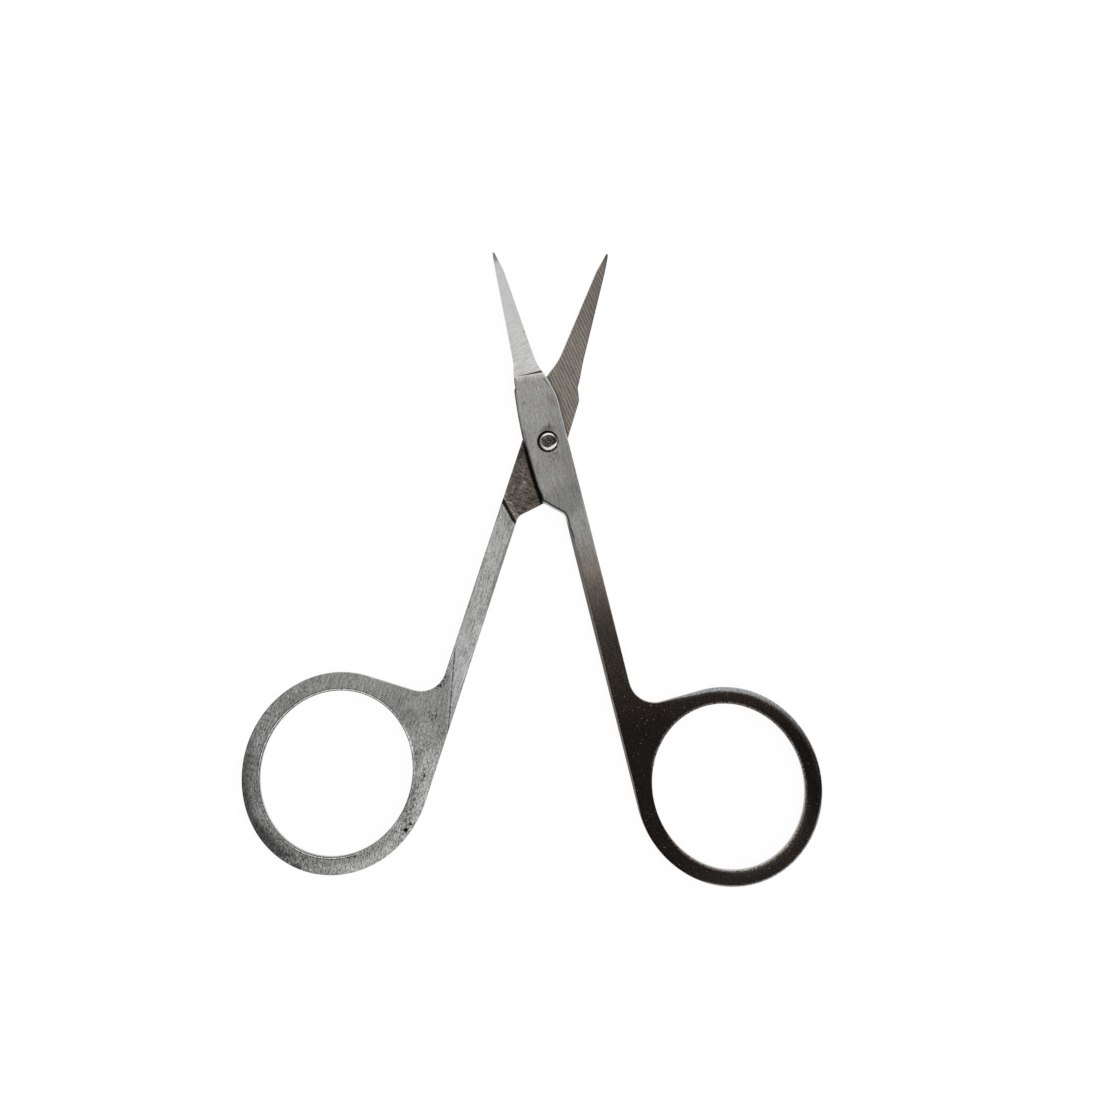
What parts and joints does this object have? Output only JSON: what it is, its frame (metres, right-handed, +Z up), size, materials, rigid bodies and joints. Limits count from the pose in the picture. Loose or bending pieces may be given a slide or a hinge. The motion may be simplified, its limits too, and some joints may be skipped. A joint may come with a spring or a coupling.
{
  "type": "cosmetic scissors",
  "caption": "Small all-steel scissors for nails and cuticles, shown open: slim straight blades, flat pivot plates, straight shanks and oval finger rings, crossed on a flat-topped rivet.",
  "frame": {"origin": "on the pivot axis, in the plane that the scissors lie on", "axes": "+Z up out of the face that lies on the table, along the pivot axis; +Y towards the blade tips, midway between the open blades; +X to the right seen from above"},
  "size_m": [0.0813, 0.0888, 0.0025],
  "materials": {
    "satin_steel": "satin, brushed along the handles and ground across the blades",
    "bright_steel": "polished, with a fine pitted top"
  },
  "bodies": {
    "rear": {"rear_half": "satin_steel", "pivot_rivet": "bright_steel"},
    "front": {"front_half": "satin_steel"}
  },
  "joints": [
    {"name": "pivot", "type": "hinge", "parent": "rear", "child": "front", "pos_m": [0, 0, 0.0011], "axis": [0, 0, 1], "range_deg": [-32.4, 112]}
  ]
}
